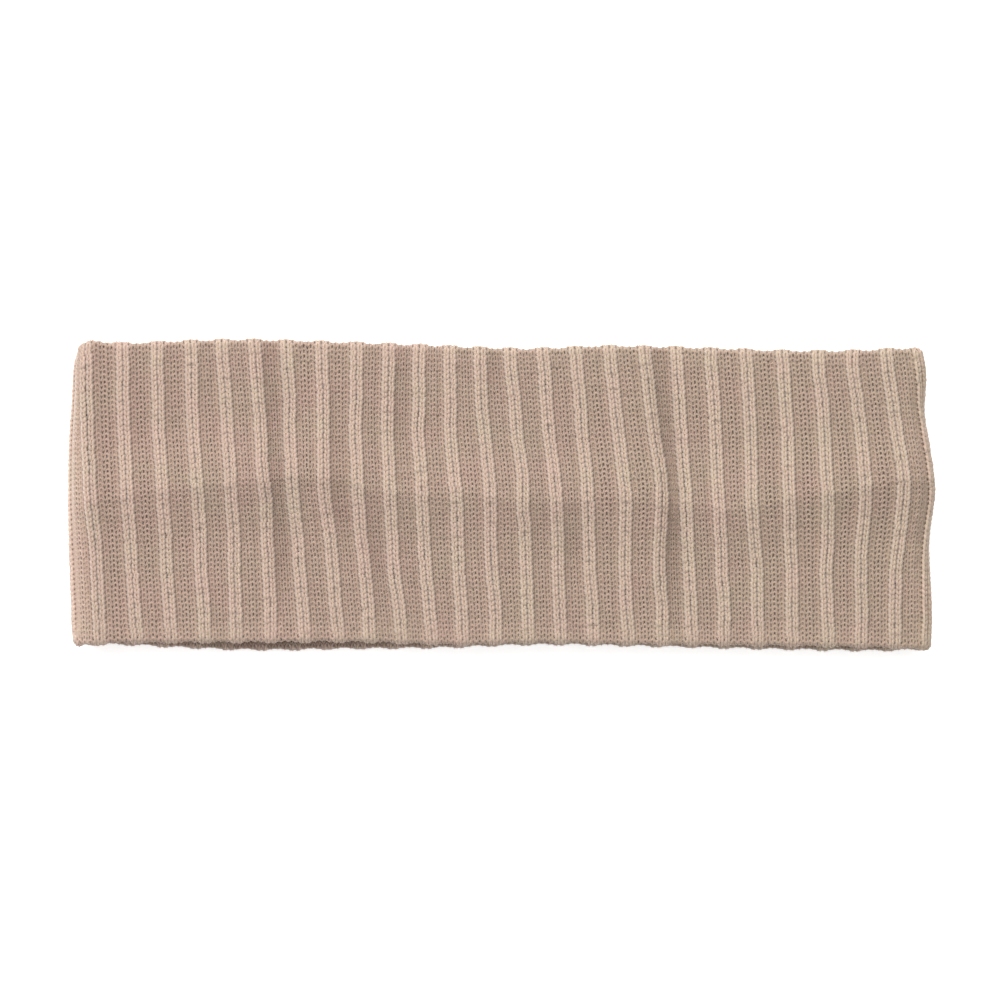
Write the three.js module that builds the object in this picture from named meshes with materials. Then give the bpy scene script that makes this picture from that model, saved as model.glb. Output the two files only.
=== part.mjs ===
// Ribbed knit ear warmer headband, lying flat: one closed loop of thick rib knit, pressed into a front wall
// that faces up, a back wall that lies on the surface, a soft fold at each end and an open hollow between.
//
// Frame, in millimetres: +X runs along the band, +Y from its foot edge to its top edge and +Z up from the
// surface. The origin is on the surface, under the middle of the band's footprint.
//
// Two coordinates name a place on the knit. "wale" counts ribs round the loop: rib 0 is the first beside the
// left fold, and whole numbers are the middles of ribs, growing to the right over the front. "share" goes
// from 0 at the foot edge to 1 at the top edge.

import * as THREE from "three";

// Driving sizes
const FLAT_WIDTH = 240; // over both folds, as it lies
const BAND_HEIGHT = 83; // foot edge to top edge, between ribs
const HOLLOW = 5.8; // clear height inside, where the walls lie apart
const WALL = 2.0; // thickness of the knit between ribs
const RIB_COUNT = 53; // ribs round the whole loop
const RIB_WIDTH = 3.4; // a rib at its foot
const RIB_CREST = 2.2; // the flat of a rib's back
const RIB_RISE = 0.9; // how far a rib stands above the knit between ribs
const SCALLOP = 0.75; // how far a rib's end reaches past the edge between ribs
const EDGE_ROUND = 1.0; // length of the rounding at the foot and top edges
const RIDGE_RISE = 2.4; // the soft ridge along the middle of the front
const RIDGE_REACH = 20; // how far the ridge's upper slope runs
const RIDGE_FALL = 18; // how far its lower slope runs
const RIDGE_CREASE_ABOVE = 0.2; // how sharply its upper slope starts at the crest: 0 is round
const RIDGE_CREASE_BELOW = 0.45; // and its lower slope
const VALLEY_DEPTH = 1.5; // the deepest upright fold in the front
const VALLEY_END = 0.12; // the share of the height over which a fold runs out at its end
const SLIP_START = 0.08; // the share of the back wall over which its slip sets in from a fold
const FOLD_RINGS = 3; // steps that a gap between ribs takes round a fold
const COLOUR = 0xc9ae9b;

// The outline's two ends as the band lies, in shares of FLAT_WIDTH from its middle.
const ENDS = [
  { share: 0.0, left: -0.493, right: 0.496 },
  { share: 0.15, left: -0.4945, right: 0.495 },
  { share: 0.35, left: -0.497, right: 0.49 },
  { share: 0.53, left: -0.4975, right: 0.497 },
  { share: 0.66, left: -0.497, right: 0.492 },
  { share: 0.8, left: -0.4945, right: 0.485 },
  { share: 0.94, left: -0.491, right: 0.489 },
  { share: 1.0, left: -0.484, right: 0.481 },
];

// The two long edges, along the band from 0 at the left end to 1 at the right: how far the top edge stands
// above its mean line, the foot edge below its own, and the back wall has slipped down behind the front, in
// shares of BAND_HEIGHT.
const EDGES = [
  { along: 0.0, top: -0.020, foot: -0.002, slip: 0.0 },
  { along: 0.06, top: -0.003, foot: 0.003, slip: 0.008 },
  { along: 0.2, top: 0.009, foot: 0.002, slip: 0.027 },
  { along: 0.32, top: 0.000, foot: 0.001, slip: 0.025 },
  { along: 0.43, top: -0.011, foot: 0.01, slip: 0.012 },
  { along: 0.54, top: -0.021, foot: 0.004, slip: 0.008 },
  { along: 0.65, top: -0.012, foot: 0.009, slip: 0.008 },
  { along: 0.84, top: -0.028, foot: 0.015, slip: 0.014 },
  { along: 0.94, top: -0.022, foot: 0.02, slip: 0.012 },
  { along: 1.0, top: -0.028, foot: 0.024, slip: 0.0 },
];

// How far each rib of the front lies to the right of even spacing, in shares of the rib pitch.
// along is the rib's place on the front, from 0 at the first rib to 1 at the last.
const SWAY = [
  { along: 0.0, top: -0.49, upper: -0.4, ridge: -0.34, lower: -0.17, foot: -0.04 },
  { along: 0.08, top: -0.33, upper: -0.29, ridge: -0.17, lower: -0.08, foot: 0.07 },
  { along: 0.21, top: -0.47, upper: -0.27, ridge: -0.17, lower: -0.03, foot: 0.06 },
  { along: 0.25, top: -0.49, upper: -0.38, ridge: -0.32, lower: -0.12, foot: 0.09 },
  { along: 0.33, top: -0.38, upper: -0.4, ridge: -0.36, lower: -0.2, foot: 0.06 },
  { along: 0.42, top: -0.51, upper: -0.54, ridge: -0.43, lower: -0.35, foot: -0.14 },
  { along: 0.54, top: -0.79, upper: -0.6, ridge: -0.39, lower: -0.34, foot: -0.23 },
  { along: 0.63, top: -0.86, upper: -0.66, ridge: -0.49, lower: -0.41, foot: -0.31 },
  { along: 0.71, top: -0.81, upper: -0.52, ridge: -0.26, lower: -0.34, foot: -0.24 },
  { along: 0.75, top: -0.82, upper: -0.7, ridge: -0.55, lower: -0.47, foot: -0.36 },
  { along: 0.83, top: -0.79, upper: -0.62, ridge: -0.59, lower: -0.45, foot: -0.41 },
  { along: 0.92, top: -0.58, upper: -0.4, ridge: -0.31, lower: -0.34, foot: -0.3 },
  { along: 1.0, top: -0.57, upper: -0.27, ridge: -0.05, lower: -0.26, foot: -0.3 },
];
const SWAY_HEIGHTS = { foot: 0.0, lower: 0.3, ridge: 0.52, upper: 0.73, top: 1.0 };

// The line that the ridge's crest follows over the front, and its rise in shares of RIDGE_RISE.
const RIDGE = [
  { along: 0.0, share: 0.46, rise: 0.5 },
  { along: 0.08, share: 0.5, rise: 0.9 },
  { along: 0.2, share: 0.53, rise: 1.0 },
  { along: 0.29, share: 0.55, rise: 1.0 },
  { along: 0.36, share: 0.51, rise: 0.85 },
  { along: 0.47, share: 0.5, rise: 0.9 },
  { along: 0.56, share: 0.48, rise: 1.0 },
  { along: 0.64, share: 0.49, rise: 0.9 },
  { along: 0.76, share: 0.46, rise: 0.9 },
  { along: 0.84, share: 0.5, rise: 0.95 },
  { along: 0.93, share: 0.55, rise: 1.0 },
  { along: 1.0, share: 0.58, rise: 0.8 },
];

// Upright folds between two ribs of the front: the gap's place, from 0 at the first rib to 1 at the last,
// the heights it runs between, its depth in shares of VALLEY_DEPTH and its half width in rib pitches.
const VALLEYS = [
  { gap: 0.23, from: 0.02, to: 1.0, depth: 0.9, reach: 0.65 },
  { gap: 0.3125, from: 0.2, to: 0.85, depth: 0.8, reach: 0.6 },
  { gap: 0.354, from: 0.05, to: 0.5, depth: 0.6, reach: 0.6 },
  { gap: 0.396, from: 0.5, to: 1.0, depth: 0.55, reach: 0.6 },
  { gap: 0.521, from: 0.74, to: 1.0, depth: 0.6, reach: 0.6 },
  { gap: 0.604, from: 0.25, to: 0.5, depth: 0.5, reach: 0.6 },
  { gap: 0.73, from: 0.02, to: 1.0, depth: 1.0, reach: 0.7 },
];

// Worked out from the sizes
const FOLD_RADIUS = HOLLOW / 2 + WALL; // of the knit's outer side, between ribs, round each end
const MEAN_LOOP = 2 * (FLAT_WIDTH - 2 * FOLD_RADIUS) + 2 * Math.PI * FOLD_RADIUS;
const RIB_PITCH = MEAN_LOOP / RIB_COUNT;
const FRONT_GAPS = Math.floor((FLAT_WIDTH - 2 * FOLD_RADIUS) / RIB_PITCH);
const FOLD_HEIGHT = RIB_RISE + FOLD_RADIUS; // of the folds' middle above the surface

const clamp = (x, low, high) => Math.min(high, Math.max(low, x));
const mix = (a, b, t) => a + (b - a) * t;
const swell = (t) => 0.5 * (1 + Math.cos(Math.PI * clamp(Math.abs(t), 0, 1)));

// One side of a ridge: 1 at its crest and 0 from t = 1 out, with a crease along the crest.
const flank = (t, crease) =>
  (1 + Math.cos(Math.PI * mix(crease, 1, clamp(Math.abs(t), 0, 1)))) / (1 + Math.cos(Math.PI * crease));

// The value of a table's column where its key column is "at": a smooth curve through the rows.
function curve(rows, key, column, at) {
  const last = rows.length - 1;
  const x = clamp(at, rows[0][key], rows[last][key]);
  const k = clamp(rows.findIndex((row) => row[key] >= x) - 1, 0, last - 1);
  const slope = (i) => {
    const a = rows[Math.max(i - 1, 0)];
    const b = rows[Math.min(i + 1, last)];
    return (b[column] - a[column]) / (b[key] - a[key]);
  };
  const a = rows[k];
  const b = rows[k + 1];
  const span = b[key] - a[key];
  const t = (x - a[key]) / span;
  const bend = 3 * t * t - 2 * t * t * t;
  const lead = t * (1 - t) * ((1 - t) * slope(k) - t * slope(k + 1)) * span;
  return mix(a[column], b[column], bend) + lead;
}

// The X of a rib of the front at a height, with the lean and bow that the cloth lies in.
function frontX(wale, share) {
  const along = wale / FRONT_GAPS;
  const heights = Object.entries(SWAY_HEIGHTS).map(([name, at]) => ({
    at,
    sway: curve(SWAY, "along", name, along),
  }));
  return (wale - FRONT_GAPS / 2 + curve(heights, "at", "sway", share)) * RIB_PITCH;
}

// The loop's section at a height: where its folds are and where the front's first and last rib lie along it.
// Lengths along the loop are counted on the knit's outer side from the middle of the front, to the right.
function section(share) {
  const left = curve(ENDS, "share", "left", share) * FLAT_WIDTH + FOLD_RADIUS;
  const right = curve(ENDS, "share", "right", share) * FLAT_WIDTH - FOLD_RADIUS;
  const loop = 2 * (right - left) + 2 * Math.PI * FOLD_RADIUS;
  const bent = (past) => FOLD_RADIUS * Math.asin(clamp(past / FOLD_RADIUS, 0, 1));
  const length = (x) => clamp(x, left, right) + bent(x - right) - bent(left - x);
  const first = length(frontX(0, share));
  const last = length(frontX(FRONT_GAPS, share));
  return { share, left, right, loop, length, first, last };
}

// How far along the loop a wale lies.
function lengthOf(at, wale) {
  if (wale >= 0 && wale <= FRONT_GAPS) return at.length(frontX(wale, at.share));
  const rest = (wale - FRONT_GAPS) / (RIB_COUNT - FRONT_GAPS);
  return mix(at.last, at.first + at.loop, rest);
}

// How far the front is lifted off its flat height at a place: the ridge less the upright folds.
function lift(x, share) {
  const along = clamp(x / FLAT_WIDTH + 0.5, 0, 1);
  const up = (share - curve(RIDGE, "along", "share", along)) * BAND_HEIGHT;
  const above = flank(up / RIDGE_REACH, RIDGE_CREASE_ABOVE);
  const slope = up > 0 ? above : flank(up / RIDGE_FALL, RIDGE_CREASE_BELOW);
  const ridge = RIDGE_RISE * curve(RIDGE, "along", "rise", along) * slope;
  const dents = VALLEYS.map((v) => {
    const foot = clamp((share - v.from) / VALLEY_END, 0, 1);
    const top = v.to < 1 ? clamp((v.to - share) / VALLEY_END, 0, 1) : 1;
    return v.depth * foot * top * swell((x - frontX(v.gap * FRONT_GAPS, share)) / (v.reach * RIB_PITCH));
  });
  return ridge - VALLEY_DEPTH * Math.min(1, dents.reduce((sum, d) => sum + d, 0));
}

// Where a wale lies on the section at a height: its X, and how far the knit has turned there, from 0 on the
// front, which faces up, to a half turn on the back.
function seat(wale, share) {
  const at = section(share);
  const straight = at.right - at.left;
  const turn = Math.PI * FOLD_RADIUS;
  const s = (lengthOf(at, wale) - at.left + at.loop) % at.loop;
  if (s <= straight) return { x: at.left + s, angle: 0 };
  if (s <= straight + turn) return { x: at.right, angle: (s - straight) / FOLD_RADIUS };
  if (s <= 2 * straight + turn) return { x: at.right - (s - straight - turn), angle: Math.PI };
  return { x: at.left, angle: (s - 2 * straight) / FOLD_RADIUS };
}

// A point of the knit, standing "out" from its outer side between ribs.
function place(wale, share, y, out) {
  const { x, angle } = seat(wale, share);
  const radius = FOLD_RADIUS + out;
  const raised = lift(x, share) * Math.max(0, Math.cos(angle));
  return new THREE.Vector3(x + radius * Math.sin(angle), y, FOLD_HEIGHT + radius * Math.cos(angle) + raised);
}

// The share of the way round that a wale is on the back wall: 1 under the band, 0 on its front.
function behind(wale) {
  const rest = (wale - FRONT_GAPS) / (RIB_COUNT - FRONT_GAPS);
  return wale <= FRONT_GAPS ? 0 : clamp(Math.min(rest, 1 - rest) / SLIP_START, 0, 1);
}

// The Y of the foot and top edges at a wale. "rib" is 1 on a rib's back and 0 between ribs.
function edges(wale, rib) {
  const x = place(wale, 0.5, 0, 0).x;
  const along = clamp(x / FLAT_WIDTH + 0.5, 0, 1);
  const slip = behind(wale) * curve(EDGES, "along", "slip", along) * BAND_HEIGHT;
  const half = BAND_HEIGHT / 2;
  return {
    foot: -half - curve(EDGES, "along", "foot", along) * BAND_HEIGHT - slip - rib * SCALLOP,
    top: half + curve(EDGES, "along", "top", along) * BAND_HEIGHT - slip + rib * SCALLOP,
    ridge: curve(RIDGE, "along", "share", along),
  };
}

// One closed profile across the knit at a wale, from the foot edge over the outer side to the top edge and
// back along the inner side. "rib" is as in edges().
function profile(wale, rib) {
  const { foot, top, ridge } = edges(wale, rib);
  const outer = rib * RIB_RISE;
  const middle = (outer - WALL) / 2;
  const half = (outer + WALL) / 2;
  const round = EDGE_ROUND / BAND_HEIGHT;
  const bend = (turn) => ({ in: round * (1 - Math.cos(turn)), out: middle + half * Math.sin(turn) });
  const slant = Math.PI / 4;
  const fall = ridge - RIDGE_FALL / BAND_HEIGHT;
  const reach = ridge + RIDGE_REACH / BAND_HEIGHT;
  const slopes = [fall, mix(fall, ridge, 0.5), mix(fall, ridge, 0.8), ridge, mix(ridge, reach, 0.5), reach];
  const outside = [round, fall / 2, ...slopes, 1 - round];
  const inside = [1 - round, ...slopes.toReversed(), round];
  const points = [
    [bend(0).in, middle],
    [bend(slant).in, bend(slant).out],
    ...outside.map((share) => [share, outer]),
    [1 - bend(slant).in, bend(slant).out],
    [1, middle],
    [1 - bend(-slant).in, bend(-slant).out],
    ...inside.map((share) => [share, -WALL]),
    [bend(-slant).in, bend(-slant).out],
  ];
  return points.map(([share, out]) => place(wale, share, mix(foot, top, share), out));
}

// The knit as one closed skin: profiles at the four corners of every rib, and between the ribs that lie on a
// fold, joined all round the loop.
function knitBand() {
  const corners = [
    [-RIB_WIDTH / 2, 0],
    [-RIB_CREST / 2, 1],
    [RIB_CREST / 2, 1],
    [RIB_WIDTH / 2, 0],
  ];
  const rings = [];
  for (let rib = 0; rib < RIB_COUNT; rib++) {
    for (const [across, raised] of corners)
      rings.push(profile((rib + across / RIB_PITCH + RIB_COUNT) % RIB_COUNT, raised));
    const folds = [0, 0.5, 1].some((share) => seat(rib, share).angle !== seat(rib + 1, share).angle);
    const gap = RIB_PITCH - RIB_WIDTH;
    for (let k = 1; folds && k <= FOLD_RINGS; k++)
      rings.push(profile(rib + (RIB_WIDTH / 2 + (gap * k) / (FOLD_RINGS + 1)) / RIB_PITCH, 0));
  }
  const around = rings.length;
  const ring = rings[0].length;
  const position = rings.flat().flatMap((p) => [p.x, p.y, p.z]);
  const index = [];
  for (let i = 0; i < around; i++)
    for (let j = 0; j < ring; j++) {
      const a = i * ring + j;
      const b = i * ring + ((j + 1) % ring);
      const c = ((i + 1) % around) * ring + ((j + 1) % ring);
      const d = ((i + 1) % around) * ring + j;
      index.push(a, d, c, a, c, b);
    }
  const skin = new THREE.BufferGeometry();
  skin.setAttribute("position", new THREE.Float32BufferAttribute(position, 3));
  skin.setIndex(index);
  skin.computeBoundingBox();
  const middle = skin.boundingBox.getCenter(new THREE.Vector3());
  skin.translate(-middle.x, -middle.y, -skin.boundingBox.min.z);
  skin.computeVertexNormals();
  return skin;
}

const wool = new THREE.MeshStandardMaterial({ color: COLOUR, roughness: 0.95, metalness: 0 });
const band = new THREE.Mesh(knitBand(), wool);
band.name = "knit_band";

const headband = new THREE.Group();
headband.add(band);
export default headband;
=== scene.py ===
# Ribbed knit ear warmer headband, lying flat: a closed loop of rib knit in thick wool-blend yarn, seen from
# straight above. Each course of the knit is modelled as a single yarn that runs all round the loop.
import math

import bpy
import numpy as np
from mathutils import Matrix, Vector


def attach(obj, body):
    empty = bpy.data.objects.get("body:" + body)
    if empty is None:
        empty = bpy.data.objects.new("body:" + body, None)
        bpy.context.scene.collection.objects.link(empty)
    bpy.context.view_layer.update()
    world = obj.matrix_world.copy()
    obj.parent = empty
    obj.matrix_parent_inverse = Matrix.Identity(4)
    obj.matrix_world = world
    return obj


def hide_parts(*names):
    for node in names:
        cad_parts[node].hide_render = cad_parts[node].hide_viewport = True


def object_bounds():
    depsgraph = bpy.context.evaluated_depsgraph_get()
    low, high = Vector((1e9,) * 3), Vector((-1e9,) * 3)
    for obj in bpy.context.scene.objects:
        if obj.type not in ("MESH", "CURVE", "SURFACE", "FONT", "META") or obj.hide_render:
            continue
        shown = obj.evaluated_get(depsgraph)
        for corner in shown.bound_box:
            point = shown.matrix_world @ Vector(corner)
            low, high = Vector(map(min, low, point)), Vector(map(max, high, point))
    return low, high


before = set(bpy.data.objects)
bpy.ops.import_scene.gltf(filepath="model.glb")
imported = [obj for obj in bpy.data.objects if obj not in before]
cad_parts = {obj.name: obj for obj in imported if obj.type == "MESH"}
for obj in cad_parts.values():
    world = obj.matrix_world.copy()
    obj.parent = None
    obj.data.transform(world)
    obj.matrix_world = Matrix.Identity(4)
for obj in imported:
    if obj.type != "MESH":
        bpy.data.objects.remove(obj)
cad_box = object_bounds()
MM = 0.001

# The loop, as the part's source has it
FLAT_WIDTH = 240 * MM  # over both folds, as it lies
BAND_HEIGHT = 83 * MM  # foot edge to top edge, between ribs
HOLLOW = 5.8 * MM  # clear height inside, where the walls lie apart
WALL = 2.0 * MM  # thickness of the knit between ribs
RIB_COUNT = 53  # ribs round the whole loop
RIB_RISE = 0.9 * MM  # how far a rib stands above the knit between ribs
RIB_SHIFT = 0.4 * MM  # how far the ribs' brightest line lies to the right of their middle
RIDGE_RISE = 2.4 * MM  # the soft ridge along the middle of the front
RIDGE_REACH = 20 * MM  # how far the ridge's upper slope runs
RIDGE_FALL = 18 * MM  # how far its lower slope runs
RIDGE_CREASE_ABOVE = 0.2  # how sharply the ridge's upper slope starts at its crest: 0 is round
RIDGE_CREASE_BELOW = 0.45  # and its lower slope
VALLEY_DEPTH = 1.5 * MM  # the deepest upright fold in the front
VALLEY_END = 0.2  # the share of the height over which a fold runs out at its end

# The knit's gauge
KNIT_WALES = 2  # columns of knit stitches in a rib
PURL_WALES = 3  # columns of purl stitches between ribs
REPEAT = KNIT_WALES + PURL_WALES
KNIT_WIDTH = 1.85 * MM  # width of a knit column in a rib
COURSES = 60  # rows from the foot edge to the top edge
EDGE_COURSES = 2  # rows past each edge, rolled to the inside
YARN = 0.77 * MM  # thickness of the yarn
KNIT_PLUMP = 1.5  # how much fuller it is in a rib
THINNEST = 0.72  # how far it thins where ribs are drawn together
LOOP_DEPTH = 0.07 * MM  # how far it weaves in and out of the knit's middle layer
KNIT_DEPTH = 0.14 * MM  # and in a rib
CORE_SUNK = 0.26 * MM  # from that middle layer down to the loose fibres that fill the stitches
CORE_RAISED = 0.3 * MM  # how much nearer they are in the flanks of ribs, at the folds and along the edges
GROOVE_FILLED = 0.6 * MM  # how far they fill a rib's groove where it is on a fold
SMOOTH_FROM, SMOOTH_TO = -6.0, -1.3  # the stitches between which the knit at the left fold is felted smooth

STITCHES = RIB_COUNT * REPEAT
FOLD_RADIUS = HOLLOW / 2 + WALL
MEAN_LOOP = 2 * (FLAT_WIDTH - 2 * FOLD_RADIUS) + 2 * math.pi * FOLD_RADIUS
RIB_PITCH = MEAN_LOOP / RIB_COUNT
FRONT_GAPS = math.floor((FLAT_WIDTH - 2 * FOLD_RADIUS) / RIB_PITCH)
FOLD_HEIGHT = RIB_RISE + FOLD_RADIUS
INSET = YARN / 2 + LOOP_DEPTH  # from the knit's surface to its middle layer
EDGE_RADIUS = WALL / 2 - INSET  # of the roll at each edge, to that layer

# The outline's two ends as the band lies, in shares of FLAT_WIDTH from its middle
ENDS = [
    {"share": 0.0, "left": -0.493, "right": 0.496},
    {"share": 0.15, "left": -0.4945, "right": 0.495},
    {"share": 0.35, "left": -0.497, "right": 0.49},
    {"share": 0.53, "left": -0.4975, "right": 0.497},
    {"share": 0.66, "left": -0.497, "right": 0.492},
    {"share": 0.8, "left": -0.4945, "right": 0.485},
    {"share": 0.94, "left": -0.493, "right": 0.49},
    {"share": 1.0, "left": -0.49, "right": 0.487},
]

# The two long edges, from 0 at the left end to 1 at the right: how far the top edge stands above its mean
# line, the foot edge below its own, and the back wall has slipped down, in shares of BAND_HEIGHT
EDGES = [
    {"along": 0.0, "top": -0.03, "foot": 0.022, "slip": 0.0},
    {"along": 0.02, "top": -0.01, "foot": 0.012, "slip": 0.003},
    {"along": 0.035, "top": 0.006, "foot": 0.006, "slip": 0.005},
    {"along": 0.06, "top": -0.003, "foot": 0.004, "slip": 0.008},
    {"along": 0.2, "top": 0.009, "foot": 0.002, "slip": 0.027},
    {"along": 0.32, "top": 0.000, "foot": 0.001, "slip": 0.025},
    {"along": 0.43, "top": -0.011, "foot": 0.01, "slip": 0.012},
    {"along": 0.54, "top": -0.021, "foot": 0.004, "slip": 0.008},
    {"along": 0.65, "top": -0.012, "foot": 0.009, "slip": 0.008},
    {"along": 0.84, "top": -0.028, "foot": 0.015, "slip": 0.014},
    {"along": 0.94, "top": -0.026, "foot": 0.02, "slip": 0.012},
    {"along": 1.0, "top": -0.014, "foot": 0.024, "slip": 0.0},
]

# How far each rib of the front lies to the right of even spacing, in rib pitches, at five heights
SWAY = [
    {"along": 0.0, "top": -0.49, "upper": -0.4, "ridge": -0.34, "lower": -0.17, "foot": -0.04},
    {"along": 0.08, "top": -0.33, "upper": -0.29, "ridge": -0.17, "lower": -0.08, "foot": 0.07},
    {"along": 0.21, "top": -0.47, "upper": -0.27, "ridge": -0.17, "lower": -0.03, "foot": 0.06},
    {"along": 0.25, "top": -0.49, "upper": -0.38, "ridge": -0.32, "lower": -0.12, "foot": 0.09},
    {"along": 0.33, "top": -0.38, "upper": -0.4, "ridge": -0.36, "lower": -0.2, "foot": 0.06},
    {"along": 0.42, "top": -0.51, "upper": -0.54, "ridge": -0.43, "lower": -0.35, "foot": -0.14},
    {"along": 0.54, "top": -0.79, "upper": -0.6, "ridge": -0.39, "lower": -0.34, "foot": -0.23},
    {"along": 0.63, "top": -0.86, "upper": -0.66, "ridge": -0.49, "lower": -0.41, "foot": -0.31},
    {"along": 0.71, "top": -0.81, "upper": -0.52, "ridge": -0.26, "lower": -0.34, "foot": -0.24},
    {"along": 0.75, "top": -0.82, "upper": -0.7, "ridge": -0.55, "lower": -0.47, "foot": -0.36},
    {"along": 0.83, "top": -0.79, "upper": -0.62, "ridge": -0.59, "lower": -0.45, "foot": -0.41},
    {"along": 0.92, "top": -0.58, "upper": -0.4, "ridge": -0.31, "lower": -0.34, "foot": -0.3},
    {"along": 1.0, "top": -0.57, "upper": -0.27, "ridge": -0.05, "lower": -0.26, "foot": -0.3},
]
SWAY_HEIGHTS = {"foot": 0.0, "lower": 0.3, "ridge": 0.52, "upper": 0.73, "top": 1.0}

# The line that the ridge's crest follows over the front, and its rise in shares of RIDGE_RISE
RIDGE = [
    {"along": 0.0, "share": 0.46, "rise": 0.5},
    {"along": 0.08, "share": 0.5, "rise": 0.9},
    {"along": 0.2, "share": 0.53, "rise": 1.0},
    {"along": 0.29, "share": 0.55, "rise": 1.0},
    {"along": 0.36, "share": 0.51, "rise": 0.85},
    {"along": 0.47, "share": 0.5, "rise": 0.9},
    {"along": 0.56, "share": 0.48, "rise": 1.0},
    {"along": 0.64, "share": 0.49, "rise": 0.9},
    {"along": 0.76, "share": 0.46, "rise": 0.9},
    {"along": 0.84, "share": 0.5, "rise": 0.95},
    {"along": 0.93, "share": 0.55, "rise": 1.0},
    {"along": 1.0, "share": 0.58, "rise": 0.8},
]

# Upright folds between two ribs of the front: the gap's place, from 0 at the first rib to 1 at the last, the
# heights that the fold runs between, its depth in shares of VALLEY_DEPTH and its half width in rib pitches
VALLEYS = [
    {"gap": 0.021, "from": 0.3, "to": 1.0, "depth": 0.3, "reach": 0.58},
    {"gap": 0.0625, "from": 0.5, "to": 1.0, "depth": 0.35, "reach": 0.58},
    {"gap": 0.104, "from": 0.5, "to": 1.0, "depth": 0.35, "reach": 0.58},
    {"gap": 0.15, "from": 0.6, "to": 1.0, "depth": 0.25, "reach": 0.58},
    {"gap": 0.23, "from": 0.05, "to": 1.0, "depth": 0.9, "reach": 0.58},
    {"gap": 0.3125, "from": 0.2, "to": 0.85, "depth": 0.8, "reach": 0.58},
    {"gap": 0.354, "from": 0.05, "to": 0.5, "depth": 0.6, "reach": 0.58},
    {"gap": 0.396, "from": 0.5, "to": 1.0, "depth": 0.55, "reach": 0.58},
    {"gap": 0.521, "from": 0.74, "to": 1.0, "depth": 0.6, "reach": 0.58},
    {"gap": 0.5625, "from": 0.2, "to": 0.52, "depth": 0.35, "reach": 0.58},
    {"gap": 0.604, "from": 0.1, "to": 0.52, "depth": 0.5, "reach": 0.58},
    {"gap": 0.73, "from": 0.02, "to": 1.0, "depth": 1.0, "reach": 0.58},
]

# How high the knit stands across a rib, in shares of RIB_RISE, by the stitches from the rib's middle, and
# the rounder form that it takes at the rim of the top and foot edges
RIB_SHAPE = [
    {"stitch": 0.0, "rise": 0.3, "rim": 0.6},
    {"stitch": 0.3, "rise": 0.88, "rim": 0.64},
    {"stitch": 0.5, "rise": 1.0, "rim": 0.6},
    {"stitch": 0.7, "rise": 0.88, "rim": 0.54},
    {"stitch": 1.0, "rise": 0.0, "rim": 0.4},
    {"stitch": 1.3, "rise": -0.15, "rim": 0.24},
    {"stitch": 1.9, "rise": -0.08, "rim": 0.08},
    {"stitch": 2.5, "rise": 0.08, "rim": -0.02},
]
RIM_REACH = 7 * MM  # how far in from an edge that rounder form reaches
SLIP_START = 1 / 12  # the share of the back over which the slip sets in behind each fold

# How a stitch is looped: how far its yarn is to either side of its middle, in stitches, from its top arc at
# 0 degrees down a leg to the arc that joins it to the next stitch at 180
LOOP_FORM = [
    {"turn": 0, "purl": 0.0, "knit": 0.0},
    {"turn": 45, "purl": 0.215, "knit": 0.23},
    {"turn": 90, "purl": 0.25, "knit": 0.19},
    {"turn": 135, "purl": 0.285, "knit": 0.14},
    {"turn": 180, "purl": 0.5, "knit": 0.5},
]
LOOP_REACH = 0.75  # how far the arcs reach up and down from their course, in courses
RIM_WEAVE = 0.6  # the share of the weaving in and out that is left at the rim
RIM_PLUMP = 0.12  # how much fuller the yarn is at the rim
FULL_YARN = 1.6  # stitches from a rib's middle to where its yarn is as thin as the rest
TWIST = 2.5 * MM  # length of yarn over which its fibres wind once round it
FRONT_STEPS = 8  # points along the yarn of each stitch that shows
BACK_STEPS = 4  # and of each stitch underneath
YARN_SIDES = 4
PIECES = 6  # meshes that the courses are shared out over

# How unevenly it is knitted: small chance shifts of every stitch, and slow bends of every rib
UNEVEN_UP = 0.05  # up or down, in courses
UNEVEN_ACROSS = 0.035  # to a side, in stitches
UNEVEN_OUT = 0.04 * MM  # in or out
UNEVEN_YARN = 0.09  # in the yarn's thickness, as a share of it
RIB_SIDE = 1.2  # stitches from a rib's middle to its side
RIB_UNEVEN = 0.4  # the share of the unevenness that is left in a rib, where stitches are pulled tight
DRIFT = 0.09  # how far a rib strays in a bend, in stitches
DRIFT_ROWS = 7  # courses from one bend to the next

# Loose fibres: those that fill the knit, and the ends that lie over it
FELTED_EDGE = 2 * MM  # how far in from an edge they fill the stitches
FELTED_FADE = 0.5  # stitches over which the felted knit at the left fold sets in
FELTED_BESIDE = 0.5  # how much more they fill there beside a rib
CORE_ROWS = 72  # rows of points of the filling, up one face of the wall and down the other
FIBRES = 44000
FIBRES_ON_RIBS = 0.4  # the share of them that is drawn to the ribs
FIBRE_SPREAD = 0.6  # how far from a rib's middle those lie, in stitches
FIBRE_LENGTH = 1.9 * MM
FIBRE_LENGTHS = (0.5, 1.4)  # the shortest and the longest, as shares of it
FIBRE_WIDTH = 0.05 * MM
FIBRE_LEAN = 1.0  # how far they lean to either side of upright, in radians
RIB_FIBRE_LEAN = 0.5  # and on a rib
FIBRE_STAND = (-0.2, 0.12)  # how far under and over the yarn they lie, in mm

# Painted shade: the share of the light, painted into the colour, that the hairs of the yarn are taken to let
# through to it
DEEP_LIGHT = 0.6  # to the underside of the yarn
CORE_LIGHT = 0.66  # to the fibres inside the knit
EDGE_LIGHT = 0.85  # and where those lie nearer the surface
SMOOTH_LIGHT = 1.16  # how much lighter the felted knit at the left fold is painted, where it faces the light
GAP_LIGHT = 0.82  # to the yarn between ribs
GROOVE_SHADE = 0.55  # the share that is lost between the two columns of a rib
VALLEY_SHADE = 0.1  # and at the bottom of the deepest upright fold

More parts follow.
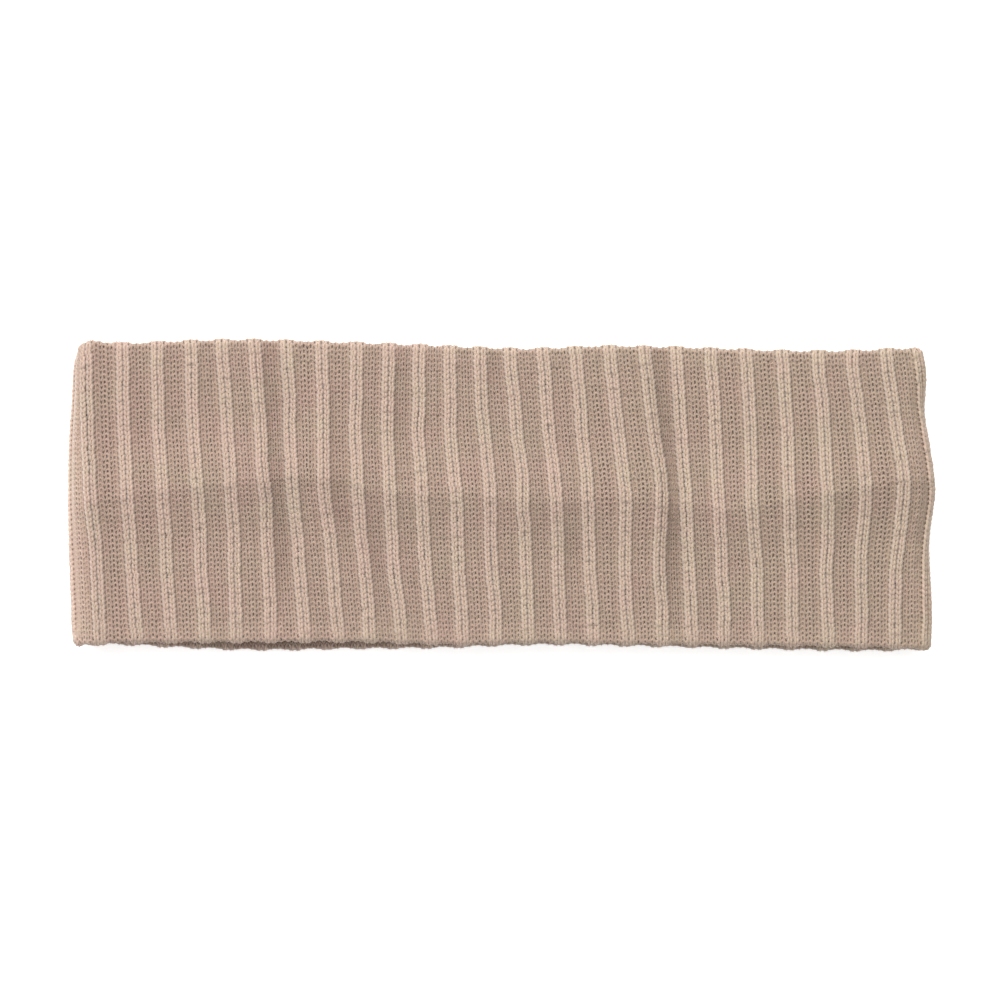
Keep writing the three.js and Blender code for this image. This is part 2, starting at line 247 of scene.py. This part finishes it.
# The wool, as the photo shows it in soft white light
ROSE_BEIGE, GREY_BEIGE = "#a99284", "#a69583"
PATCH = 11 * MM  # size of the patches of either tint
TINT_DRIFT = 0.12  # how much more of the second there is at the band's right end than in its middle
DEEP_WARMTH = (1, 0.72, 0.57, 1)  # the warmth of the painted shade: what light that has been through wool keeps of its red, green and blue
FIBRE_STREAKS = (2.5, 6, 1)  # fibre streaks in one turn of the yarn, along it and round it
STREAK_TONES = (0.8, 1.14)  # how dark and how light the streaks are
STREAK_DEPTH = 0.15 * MM

# The studio
FLOOR_HALF = 3.0  # half the side of the floor, m
FLOOR_GLOW = 0.35  # the table is lit from below, so that hardly a shadow reads on it
CAMERA_DISTANCE = 2.5  # above the knit, m
SENSOR = 36  # the camera's sensor, mm
PIXEL = FLAT_WIDTH / 867  # the band is 867 pixels long in the picture
PICTURE = 1000 * PIXEL  # the picture's width
AIM = (-1.5 * PIXEL, -5 * PIXEL)  # the place under the middle of the picture
AIM_HEIGHT = 0.8  # of the knit's thickness: the height that is shown to scale
KEY_PLACE = (-0.4, 1.1, 1.1)  # the large soft lamp above the top edge, m
KEY_SIZE = 1.6  # m
KEY_POWER = 46  # W


def through(keys, values, at):
    """A smooth curve through the values at the keys."""
    keys, values = np.asarray(keys), np.asarray(values)
    at = np.clip(at, keys[0], keys[-1])
    last = len(keys) - 1
    k = np.clip(np.searchsorted(keys, at) - 1, 0, last - 1)
    ahead = np.minimum(np.arange(last + 1) + 1, last)
    back = np.maximum(np.arange(last + 1) - 1, 0)
    slope = (values[ahead] - values[back]) / (keys[ahead] - keys[back])
    span = keys[k + 1] - keys[k]
    t = (at - keys[k]) / span
    bend = 3 * t**2 - 2 * t**3
    lead = t * (1 - t) * ((1 - t) * slope[k] - t * slope[k + 1]) * span
    return values[k] * (1 - bend) + values[k + 1] * bend + lead


def curve(rows, key, column, at):
    """The value of a table's column where its key column is "at"."""
    return through([row[key] for row in rows], [row[column] for row in rows], at)


def swell(t):
    """A soft hump: 1 in its middle and 0 from t = 1 out."""
    return 0.5 * (1 + np.cos(math.pi * np.clip(np.abs(t), 0, 1)))


def flank(t, crease):
    """One side of a ridge: 1 at its crest and 0 from t = 1 out, with a crease along the crest."""
    start = math.cos(math.pi * crease)
    return (1 + np.cos(math.pi * (crease + (1 - crease) * np.clip(np.abs(t), 0, 1)))) / (1 + start)


class Loop:
    """Where the ribs and folds of the loop lie at a close row of heights."""

    shares = np.linspace(0, 1, 129)
    left = curve(ENDS, "share", "left", shares) * FLAT_WIDTH + FOLD_RADIUS
    right = curve(ENDS, "share", "right", shares) * FLAT_WIDTH - FOLD_RADIUS
    around = 2 * (right - left) + 2 * math.pi * FOLD_RADIUS
    ribs = np.empty((RIB_COUNT + 1, len(shares)))


def lay_ribs():
    """Fills in how far along the loop each rib lies, counted from the middle of the front to the right."""
    heights = list(SWAY_HEIGHTS.values())
    for rib in range(FRONT_GAPS + 1):
        sways = [curve(SWAY, "along", name, rib / FRONT_GAPS) for name in SWAY_HEIGHTS]
        x = (rib - FRONT_GAPS / 2 + through(heights, sways, Loop.shares)) * RIB_PITCH + RIB_SHIFT
        past = np.clip(np.stack([x - Loop.right, Loop.left - x]) / FOLD_RADIUS, 0, 1)
        bent = FOLD_RADIUS * np.arcsin(past)
        Loop.ribs[rib] = np.clip(x, Loop.left, Loop.right) + bent[0] - bent[1]
    first, last = Loop.ribs[0] + Loop.around, Loop.ribs[FRONT_GAPS]
    for rib in range(FRONT_GAPS + 1, RIB_COUNT + 1):
        rest = (rib - FRONT_GAPS) / (RIB_COUNT - FRONT_GAPS)
        Loop.ribs[rib] = last * (1 - rest) + first * rest


def at_share(row, share):
    """Reads a row of values, one for each of the loop's heights, at any height."""
    spot = np.clip(share, 0, 1) * (len(Loop.shares) - 1)
    k = np.minimum(spot.astype(int), len(Loop.shares) - 2)
    return row[..., k] * (1 - spot + k) + row[..., k + 1] * (spot - k)


def rib_length(rib, share):
    """How far along the loop a rib lies at any height."""
    turns, rib = np.divmod(rib, RIB_COUNT)
    spot = np.clip(share, 0, 1) * (len(Loop.shares) - 1)
    k = np.minimum(spot.astype(int), len(Loop.shares) - 2)
    here = Loop.ribs[rib, k] * (1 - spot + k) + Loop.ribs[rib, k + 1] * (spot - k)
    return here + turns * at_share(Loop.around, share)


def seat(stitch, share):
    """The X of a stitch on the loop, and the turn of the knit there: 0 on the front, pi on the back."""
    stitch, share = np.broadcast_arrays(stitch, share)
    rib = np.floor((stitch + 1) / REPEAT).astype(int)
    local = stitch - rib * REPEAT
    here, after = rib_length(rib, share), rib_length(rib + 1, share)
    gap = (local - 1) / PURL_WALES
    between = (here + KNIT_WIDTH) * (1 - gap) + (after - KNIT_WIDTH) * gap
    length = np.where(local <= 1, here + local * KNIT_WIDTH, between)
    left, right, around = (at_share(row, share) for row in (Loop.left, Loop.right, Loop.around))
    straight, turn = right - left, math.pi * FOLD_RADIUS
    s = np.mod(length - left, around)
    x = np.where(s < straight, left + s, right)
    x = np.where(s > straight + turn, 2 * right - left + turn - s, x)
    x = np.where(s > 2 * straight + turn, left, x)
    angle = np.clip((s - straight) / FOLD_RADIUS, 0, math.pi)
    return x, angle + np.clip((s - 2 * straight - turn) / FOLD_RADIUS, 0, math.pi)


def lift(x, share):
    """How far the front is raised at a place: the ridge less the upright folds."""
    along = np.clip(x / FLAT_WIDTH + 0.5, 0, 1)
    up = (share - curve(RIDGE, "along", "share", along)) * BAND_HEIGHT
    above = flank(up / RIDGE_REACH, RIDGE_CREASE_ABOVE)
    below = flank(up / RIDGE_FALL, RIDGE_CREASE_BELOW)
    ridge = curve(RIDGE, "along", "rise", along) * np.where(up > 0, above, below)
    return RIDGE_RISE * ridge - VALLEY_DEPTH * valley(x, share)


def valley(x, share):
    """How deep in an upright fold a place of the front is, from 0 to 1."""
    dents = 0
    for v in VALLEYS:
        ends = np.clip((share - v["from"]) / VALLEY_END, 0, 1)
        if v["to"] < 1:
            ends = ends * np.clip((v["to"] - share) / VALLEY_END, 0, 1)
        across = (x - seat(v["gap"] * FRONT_GAPS * REPEAT, share)[0]) / (v["reach"] * RIB_PITCH)
        dents = dents + v["depth"] * ends * swell(across)
    return np.minimum(1, dents)


def edges(stitch):
    """The Y of the foot and top edges at a stitch, between ribs."""
    x, _ = seat(stitch, np.full(np.shape(stitch), 0.5))
    along = np.clip(x / FLAT_WIDTH + 0.5, 0, 1)
    rest = (np.mod(stitch / REPEAT, RIB_COUNT) - FRONT_GAPS) / (RIB_COUNT - FRONT_GAPS)
    behind = np.clip(np.minimum(rest, 1 - rest) / SLIP_START, 0, 1)
    slip = behind * curve(EDGES, "along", "slip", along) * BAND_HEIGHT
    foot = -BAND_HEIGHT / 2 - curve(EDGES, "along", "foot", along) * BAND_HEIGHT - slip
    top = BAND_HEIGHT / 2 + curve(EDGES, "along", "top", along) * BAND_HEIGHT - slip
    return foot, top


def on_knit(stitch, course, height):
    """Points of the knit and the directions that it faces there.

    stitch counts round the loop from the middle of rib 0, course counts rows up from the foot edge and past
    both edges to the inside, and height stands out from the knit's middle layer between ribs.
    """
    stitch, course, height = np.broadcast_arrays(stitch, course, height)
    roll = EDGE_RADIUS / BAND_HEIGHT
    share = course / COURSES
    over = np.maximum(share - 1 + roll, 0) / roll
    under = np.maximum(roll - share, 0) / roll
    top_turn, foot_turn = np.minimum(over, math.pi), np.minimum(under, math.pi)
    turn = top_turn - foot_turn
    share = np.clip(share, roll, 1 - roll) + roll * (np.sin(top_turn) - np.sin(foot_turn))
    share = share - roll * (over - top_turn) + roll * (under - foot_turn)
    x, angle = seat(stitch, share)
    foot, top = edges(stitch)
    y = (foot + INSET) * (1 - share) + (top - INSET) * share + height * np.sin(turn)
    radius = FOLD_RADIUS - INSET - EDGE_RADIUS * (1 - np.cos(turn)) + height * np.cos(turn)
    raised = lift(x, share) * np.maximum(0, np.cos(angle))
    point = np.stack([x + radius * np.sin(angle), y, FOLD_HEIGHT + radius * np.cos(angle) + raised], -1)
    facing = np.stack([np.sin(angle) * np.cos(turn), np.sin(turn), np.cos(angle) * np.cos(turn)], -1)
    return point, facing


def from_rib(stitch):
    """How many stitches a place is from the middle of the nearest rib."""
    local = np.mod(stitch, REPEAT)
    return np.minimum(local, REPEAT - local)


def rim(course, reach=RIM_REACH):
    """How near a row is to the top or foot edge: 1 at the edge and 0 from its reach in."""
    inward = np.minimum(course, COURSES - course) / COURSES * BAND_HEIGHT
    return swell(np.maximum(inward, 0) / reach)


def felted(stitch, course):
    """How far loose fibres fill the knit at a place: 1 at the folds, the edges and the flanks of ribs."""
    off = from_rib(stitch)
    beside_groove = np.clip(2 * off, 0, 1) * np.clip(3 - 2 * off, 0, 1)  # 1 over a rib's own columns
    fold = np.abs(np.sin(seat(stitch, np.clip(course / COURSES, 0, 1))[1]))
    edge = np.maximum(rim(course, FELTED_EDGE), smooth_side(stitch))
    return np.maximum(np.maximum(beside_groove, fold), edge)


def smooth_side(stitch):
    """1 on the felted knit at the left fold and 0 away from it."""
    around = np.mod(stitch + STITCHES / 2, STITCHES) - STITCHES / 2
    sets_in = np.clip((around - SMOOTH_FROM) / FELTED_FADE, 0, 1)
    return sets_in * np.clip((SMOOTH_TO - around) / FELTED_FADE, 0, 1)


def rib_rise(stitch, course):
    """How far the knit stands out at a place because of its ribs."""
    near, off = rim(course), from_rib(stitch)
    rise, rounder = (curve(RIB_SHAPE, "stitch", form, off) for form in ("rise", "rim"))
    return RIB_RISE * (rise * (1 - near) + rounder * near)


def wander(rng, points, count, rows):
    """Chance values that run evenly from one stitch to the next, read at points along a course."""
    chance = rng.normal(size=(rows, count))
    spot = np.mod(points - 0.5, count)
    k = spot.astype(int) % count
    past = spot - np.floor(spot)
    return chance[:, k] * (1 - past) + chance[:, (k + 1) % count] * past


drift_chance = np.random.default_rng(3).normal(size=(COURSES // DRIFT_ROWS + 5, RIB_COUNT + 1))


def rib_drift(stitch, course):
    """The small bends of each rib to either side, in stitches: none between ribs."""
    rib = np.mod(np.round(stitch / REPEAT), RIB_COUNT).astype(int)
    spot = np.clip(course / DRIFT_ROWS, -1, COURSES / DRIFT_ROWS + 1) + 2
    k = np.floor(spot).astype(int)
    near = swell(spot - k)
    bend = drift_chance[k, rib] * near + drift_chance[k + 1, rib] * (1 - near)
    return DRIFT * bend * swell(from_rib(stitch) / (REPEAT / 2))


def drawn(stitch, course):
    """How far the yarn thins at a place because the ribs beside it are drawn together."""
    share = np.clip(course / COURSES, 0, 1)
    rib = np.floor(stitch / REPEAT).astype(int)
    rib, share = np.broadcast_arrays(rib, share)
    gap = (rib_length(rib + 1, share) - rib_length(rib, share) - KNIT_WALES * KNIT_WIDTH) / PURL_WALES
    even = (RIB_PITCH - KNIT_WALES * KNIT_WIDTH) / PURL_WALES
    between = np.clip(2 * from_rib(stitch) - 2, 0, 1)
    return 1 - between * (1 - np.clip(gap / even, THINNEST, 1))


def course_points():
    """The place along a course, and the turn of the loop, of each point of its yarn."""
    stitches, turns = [], []
    for k in range(STITCHES):
        front = k < (FRONT_GAPS + 2) * REPEAT or k > STITCHES - 2 * REPEAT
        steps = FRONT_STEPS if front else BACK_STEPS
        turns.append(-math.pi + 2 * math.pi * np.arange(steps) / steps)
        stitches.append(np.full(steps, k + 0.5))
    return np.concatenate(stitches), np.concatenate(turns)


def yarn_courses(rows, rng):
    """The middle line of the yarn of some courses, its facing, radius, weave and painted light, a row for
    each.
    """
    middle, turn = course_points()
    plain = middle + turn / (2 * math.pi)
    knit = from_rib(middle) < 1
    beside = from_rib(middle + np.sign(turn)) < 1
    crossing = 0.5 * np.clip(2 * np.abs(turn) / math.pi - 1, 0, 1)
    side = np.where(knit, 1, -1) * (1 - crossing) + np.where(beside, 1, -1) * crossing
    wide = [curve(LOOP_FORM, "turn", kind, np.degrees(np.abs(turn))) for kind in ("knit", "purl")]
    stitch = middle + np.sign(turn) * np.where(knit, *wide)
    rows = np.asarray(rows, float)[:, None]
    loose = np.where(from_rib(plain) < RIB_SIDE, RIB_UNEVEN, 1)
    up = rows + LOOP_REACH * np.cos(turn) + UNEVEN_UP * loose * wander(rng, plain, STITCHES, len(rows))
    across = stitch + UNEVEN_ACROSS * wander(rng, plain, STITCHES, len(rows)) + rib_drift(plain, rows)
    depth = np.where(side > 0, KNIT_DEPTH, LOOP_DEPTH)
    weave = -side * depth * np.cos(2 * turn) * (1 - (1 - RIM_WEAVE) * rim(up))
    height = rib_rise(stitch, up) + weave + UNEVEN_OUT * wander(rng, plain, STITCHES, len(rows))
    point, facing = on_knit(across, up, height)
    fuller = np.clip(FULL_YARN - from_rib(plain), 0, 1) * (1 - rim(rows, FELTED_EDGE))
    plump = (1 + (KNIT_PLUMP - 1) * fuller + RIM_PLUMP * rim(rows)) * drawn(plain, up)
    radius = YARN / 2 * plump * (1 + UNEVEN_YARN * loose * wander(rng, plain, STITCHES, len(rows)))
    return point, facing, radius, weave, painted_fold_light(plain, up, facing)


def yarn_mesh(name, rows, rng):
    """One mesh of closed rings of yarn, one ring for each course."""
    point, facing, radius, weave, light = yarn_courses(rows, rng)
    pieces = np.linalg.norm(np.roll(point, -1, axis=1) - point, axis=-1)
    run = np.concatenate([np.zeros((len(point), 1)), np.cumsum(pieces, axis=1)], 1) / TWIST
    along = np.roll(point, -1, axis=1) - np.roll(point, 1, axis=1)
    along /= np.linalg.norm(along, axis=-1, keepdims=True)
    across = np.cross(along, facing)
    across /= np.linalg.norm(across, axis=-1, keepdims=True)
    out = np.cross(across, along)
    round_yarn = np.arange(YARN_SIDES) / YARN_SIDES
    corner = math.pi + 2 * math.pi * round_yarn
    spoke = np.cos(corner)[:, None] * out[:, :, None] + np.sin(corner)[:, None] * across[:, :, None]
    skin = point[:, :, None] + radius[:, :, None, None] * spoke
    places = np.arange(radius.size * YARN_SIDES).reshape(*radius.shape, YARN_SIDES)
    piece = build_mesh(name, skin.reshape(-1, 3), net_faces(places))
    # Painted shade: the yarn is darker towards its underside, where it lies deeper in the knit
    stand = weave[:, :, None] + radius[:, :, None] * np.sum(spoke * facing[:, :, None], -1)
    depth = 0.5 - 0.5 * np.cos(math.pi * np.clip(0.5 + stand / YARN, 0, 1))
    note_painted_light(piece, light[:, :, None] * (DEEP_LIGHT + (1 - DEEP_LIGHT) * depth))
    turns = np.broadcast_arrays(run[:, :-1, None], run[:, 1:, None], round_yarn, round_yarn + 1 / YARN_SIDES)
    start, end, low, high = turns
    wound = np.stack([[start, low + start], [start, high + start], [end, high + end], [end, low + end]])
    layer = piece.data.uv_layers.new(name="along_yarn")
    wound = np.moveaxis(wound, (0, 1), (3, 4))
    layer.data.foreach_set("uv", np.ascontiguousarray(wound, np.float32).ravel())
    return piece


def net_faces(places):
    """The four-sided faces of a net of points that closes on itself along its last two axes."""
    after = np.roll(places, -1, axis=-2)
    corners = [places, np.roll(places, -1, axis=-1), np.roll(after, -1, axis=-1), after]
    return np.stack(corners, -1).reshape(-1, 4)


def painted_fold_light(stitch, course, facing):
    """Painted shade of a place, darker between ribs and in folds, lighter on the left fold's felted knit."""
    rib = np.clip(2.5 - 2 * from_rib(stitch), 0, 1)  # 1 on a rib and 0 from just past its sides
    groove = np.clip(1 - 4 * from_rib(stitch), 0, 1)  # 1 between its two columns
    share = np.clip(course / COURSES, 0, 1)
    upward = np.sqrt(np.abs(facing[..., 2]))
    front = np.maximum(0, facing[..., 2])
    sunk = valley(seat(stitch, share)[0], share) * front
    light = (GAP_LIGHT + (1 - GAP_LIGHT) * rib) * (1 - GROOVE_SHADE * groove * (1 - rim(course)))
    # painted light: the felted knit at the left fold is lighter, where it faces the lamp
    smooth = 1 + (SMOOTH_LIGHT - 1) * smooth_side(stitch)
    return (1 - (1 - light) * upward) * (1 - VALLEY_SHADE * sunk) * smooth


def note_painted_light(piece, light):
    """Writes on every point of a piece its painted light: the share of the light painted into its colour."""
    painted_light = piece.data.attributes.new("light", "FLOAT", "POINT")
    painted_light.data.foreach_set("value", np.ascontiguousarray(light, np.float32).ravel())


def build_mesh(name, points, quads):
    """A smooth-shaded mesh object of four-sided faces."""
    mesh = bpy.data.meshes.new(name)
    mesh.vertices.add(len(points))
    mesh.vertices.foreach_set("co", np.ascontiguousarray(points, np.float32).ravel())
    mesh.loops.add(quads.size)
    mesh.loops.foreach_set("vertex_index", np.ascontiguousarray(quads, np.int32).ravel())
    mesh.polygons.add(len(quads))
    mesh.polygons.foreach_set("loop_start", np.arange(0, quads.size, 4, dtype=np.int32))
    mesh.polygons.foreach_set("use_smooth", np.ones(len(quads), bool))
    mesh.update(calc_edges=True)
    mesh.validate()
    piece = bpy.data.objects.new(name, mesh)
    bpy.context.collection.objects.link(piece)
    return piece


def core_mesh(name):
    """The felted middle of the knit, a closed sheet inside the yarn that shows between the stitches, in
    painted shade.
    """
    inside = 0.5 + (math.pi - 2) * EDGE_RADIUS / BAND_HEIGHT
    rows = COURSES * np.linspace(-inside, 1 + inside, CORE_ROWS + 1)[None, :-1]
    stitch = np.arange(0, STITCHES, 1.0)[:, None]
    height = rib_rise(stitch, rows) - CORE_SUNK + CORE_RAISED * felted(stitch, rows)
    fold = np.abs(np.sin(seat(stitch, np.clip(rows / COURSES, 0, 1))[1]))
    fuller = 1 + FELTED_BESIDE * smooth_side(stitch)
    height = height + GROOVE_FILLED * fold * np.clip(fuller * (1 - from_rib(stitch) / KNIT_WALES), 0, 1)
    point, facing = on_knit(stitch + rib_drift(stitch, rows), rows, height)
    places = np.arange(STITCHES * CORE_ROWS).reshape(STITCHES, CORE_ROWS)
    piece = build_mesh(name, point.reshape(-1, 3), net_faces(places.T))
    # Painted shade: the fibres inside the knit are darker, less so where they lie near the surface
    light = CORE_LIGHT + (EDGE_LIGHT - CORE_LIGHT) * felted(stitch, rows)
    note_painted_light(piece, light * painted_fold_light(stitch, rows, facing))
    return piece


def fibre_mesh(name, rng):
    """Short loose fibres over the front and the folds, each a narrow sliver that bends up in its middle."""
    stitch = rng.uniform(-1.5, (FRONT_GAPS + 1) * REPEAT + 0.5, FIBRES)
    on_rib = np.round(stitch / REPEAT) * REPEAT + rng.normal(0, FIBRE_SPREAD, FIBRES)
    stitch = np.where(rng.random(FIBRES) < FIBRES_ON_RIBS, on_rib, stitch)
    course = rng.uniform(-0.4, COURSES + 0.4, FIBRES)
    heading = rng.normal(math.pi / 2, np.where(from_rib(stitch) < RIB_SIDE, RIB_FIBRE_LEAN, FIBRE_LEAN))
    length = FIBRE_LENGTH * rng.uniform(*FIBRE_LENGTHS, FIBRES)
    reach = length * np.cos(heading) / KNIT_WIDTH, length * np.sin(heading) / (BAND_HEIGHT / COURSES)
    points = []
    for part in (0, 0.5, 1):
        s, c = stitch + part * reach[0], course + part * reach[1]
        stand = rib_rise(s, c) + INSET + rng.uniform(*FIBRE_STAND, FIBRES) * MM
        points.append(on_knit(s + rib_drift(s, c), c, stand))
    (start, _), (middle, facing), (end, _) = points
    side = np.cross(end - start, facing)
    side *= FIBRE_WIDTH / 2 / np.linalg.norm(side, axis=-1, keepdims=True)
    corners = np.stack([start, middle + side, end, middle - side], 1)
    piece = build_mesh(name, corners.reshape(-1, 3), np.arange(4 * FIBRES).reshape(-1, 4))
    # painted shade of the knit under each fibre
    note_painted_light(piece, np.repeat(painted_fold_light(stitch, course, facing), 4))
    return piece


def linear(code):
    """The linear colour of an sRGB hex value."""
    parts = [int(code[i : i + 2], 16) / 255 for i in (1, 3, 5)]
    return (*(c / 12.92 if c <= 0.04045 else ((c + 0.055) / 1.055) ** 2.4 for c in parts), 1)


def add_node(tree, kind, links=(), **settings):
    """Adds a node with its settings and the links into it."""
    node = tree.nodes.new(kind)
    for name, value in settings.items():
        if hasattr(node, name):
            setattr(node, name, value)
        else:
            node.inputs[name.replace("_", " ")].default_value = value
    for name, socket in dict(links).items():
        tree.links.new(socket, node.inputs[name])
    return node


def wool_blend_yarn():
    """Soft spun wool-blend yarn, plied and a little hairy.

    The fibres are blended before they are spun, which gives a quiet heather of rose and grey beige. Their
    ends stand off the yarn, so it is dull, with a pale bloom where it turns away. The spinning winds them
    round it, which shows as fine slanting streaks. Shade is painted into its colour from the light noted
    on each point, darker and warmer where less is noted, as light that reaches deeper parts comes through
    wool.
    """
    material = bpy.data.materials.new("wool_blend_yarn")
    material.use_nodes = True
    tree = material.node_tree
    shader = tree.nodes["Principled BSDF"]
    shader.inputs["Roughness"].default_value = 0.9
    shader.inputs["Sheen Weight"].default_value = 0.3
    shader.inputs["Sheen Roughness"].default_value = 0.5
    place = add_node(tree, "ShaderNodeTexCoord").outputs["Object"]
    patch = add_node(tree, "ShaderNodeTexNoise", {"Vector": place}, Scale=1 / PATCH, Detail=3.0)
    along = add_node(tree, "ShaderNodeSeparateXYZ", {"Vector": place}).outputs["X"]
    drift = add_node(
        tree, "ShaderNodeMath", {0: along, 2: patch.outputs["Fac"]}, operation="MULTIPLY_ADD",
    )
    drift.inputs[1].default_value = TINT_DRIFT / (FLAT_WIDTH / 2)
    spread = add_node(
        tree, "ShaderNodeMapRange", {"Value": drift.outputs["Value"]}, From_Min=0.3, From_Max=0.7
    )
    tint = add_node(tree, "ShaderNodeMix", {"Factor": spread.outputs["Result"]}, data_type="RGBA")
    tint.inputs["A"].default_value = linear(ROSE_BEIGE)
    tint.inputs["B"].default_value = linear(GREY_BEIGE)
    wound = add_node(tree, "ShaderNodeUVMap", uv_map="along_yarn").outputs["UV"]
    strand = add_node(tree, "ShaderNodeMapping", {"Vector": wound}, Scale=FIBRE_STREAKS).outputs["Vector"]
    fibre = add_node(tree, "ShaderNodeTexNoise", {"Vector": strand}, Scale=1.0, Detail=2.0)
    light = add_node(
        tree, "ShaderNodeMapRange", {"Value": fibre.outputs["Fac"]},
        From_Min=0.3, From_Max=0.7, To_Min=STREAK_TONES[0], To_Max=STREAK_TONES[1],
    )
    # Painted shade: the light noted on each point darkens the wool and warms it where it is low
    painted_light = add_node(tree, "ShaderNodeAttribute", attribute_name="light").outputs["Fac"]
    both = add_node(tree, "ShaderNodeMath", {0: light.outputs["Result"], 1: painted_light}, operation="MULTIPLY")
    shade_warmth = add_node(tree, "ShaderNodeMix", {"Factor": painted_light}, data_type="RGBA")
    shade_warmth.inputs["A"].default_value = DEEP_WARMTH
    shade_warmth.inputs["B"].default_value = (1, 1, 1, 1)
    wool = add_node(
        tree, "ShaderNodeVectorMath", {0: tint.outputs["Result"], 1: shade_warmth.outputs["Result"]},
        operation="MULTIPLY",
    )
    shade = add_node(
        tree, "ShaderNodeVectorMath", {0: wool.outputs["Vector"], "Scale": both.outputs["Value"]},
        operation="SCALE",
    )
    tree.links.new(shade.outputs["Vector"], shader.inputs["Base Color"])
    height = {"Height": fibre.outputs["Fac"]}
    bump = add_node(tree, "ShaderNodeBump", height, Strength=0.5, Distance=STREAK_DEPTH)
    tree.links.new(bump.outputs["Normal"], shader.inputs["Normal"])
    return material


def dress(piece, material):
    """Gives a piece its material and body, and hides the imported part that it stands for."""
    piece.data.materials.append(material)
    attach(piece, "root")
    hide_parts("knit_band")


def points_of(piece):
    """The places of a piece's points, one row for each."""
    flat = np.empty(len(piece.data.vertices) * 3, np.float32)
    piece.data.vertices.foreach_get("co", flat)
    return flat.reshape(-1, 3)


def centre(pieces):
    """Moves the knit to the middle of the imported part's box, down on the surface."""
    low = np.min([points_of(piece).min(0) for piece in pieces], 0)
    high = np.max([points_of(piece).max(0) for piece in pieces], 0)
    cad_low, cad_high = (np.array(corner) for corner in cad_box)
    shift = (cad_low + cad_high) / 2 - (low + high) / 2
    shift[2] = cad_low[2] - low[2]
    for piece in pieces:
        piece.data.vertices.foreach_set("co", (points_of(piece) + shift).astype(np.float32).ravel())
        piece.data.update()


def white_table():
    """Matt white acrylic over a lamp: plain, evenly bright and without a gloss."""
    material = bpy.data.materials.new("white_acrylic")
    material.use_nodes = True
    shader = material.node_tree.nodes["Principled BSDF"]
    shader.inputs["Base Color"].default_value = linear("#f6f6f6")
    shader.inputs["Roughness"].default_value = 0.9
    shader.inputs["Emission Color"].default_value = (1, 1, 1, 1)
    shader.inputs["Emission Strength"].default_value = FLOOR_GLOW
    return material


def lay_floor():
    """The plain white table that the band lies on."""
    mesh = bpy.data.meshes.new("floor")
    ends = (-FLOOR_HALF, FLOOR_HALF)
    corners = [(ends[0], ends[0], 0), (ends[1], ends[0], 0), (ends[1], ends[1], 0), (ends[0], ends[1], 0)]
    mesh.from_pydata(corners, [], [(0, 1, 2, 3)])
    mesh.materials.append(white_table())
    floor = bpy.data.objects.new("floor", mesh)
    bpy.context.collection.objects.link(floor)


def place_camera():
    """Looks straight down from far off, so that the band is shown almost without perspective."""
    lens = bpy.data.cameras.new("camera")
    lens.sensor_width = SENSOR
    lens.lens = SENSOR * CAMERA_DISTANCE / PICTURE
    lens.clip_end = 2 * FLOOR_HALF
    camera = bpy.data.objects.new("camera", lens)
    camera.location = (*AIM, cad_box[1][2] * AIM_HEIGHT + CAMERA_DISTANCE)
    bpy.context.collection.objects.link(camera)
    bpy.context.scene.camera = camera


def light_studio():
    """Even white light from all round, and one large soft lamp that gives the knit its relief."""
    world = bpy.data.worlds.new("studio")
    world.use_nodes = True
    world.node_tree.nodes["Background"].inputs["Color"].default_value = (1, 1, 1, 1)
    world.node_tree.nodes["Background"].inputs["Strength"].default_value = 1.0
    bpy.context.scene.world = world
    bpy.context.scene.view_settings.view_transform = "Standard"
    lamp = bpy.data.lights.new("key", "AREA")
    lamp.size = KEY_SIZE
    lamp.energy = KEY_POWER
    key = bpy.data.objects.new("key", lamp)
    key.location = KEY_PLACE
    key.rotation_euler = (-Vector(KEY_PLACE)).to_track_quat("-Z", "Y").to_euler()
    bpy.context.collection.objects.link(key)


def plain(box):
    """A box's corners as plain lists."""
    return [[float(value) for value in corner] for corner in box]


lay_ribs()
rng = np.random.default_rng(7)
rows = np.arange(-EDGE_COURSES, COURSES + EDGE_COURSES + 1)
courses = [yarn_mesh(f"courses_{k + 1}", part, rng) for k, part in enumerate(np.array_split(rows, PIECES))]
core = core_mesh("knit_core")
fibres = fibre_mesh("loose_fibres", rng)
centre([*courses, core, fibres])
yarn = wool_blend_yarn()
for piece in [*courses, core, fibres]:
    dress(piece, yarn)
lay_floor()
place_camera()
light_studio()
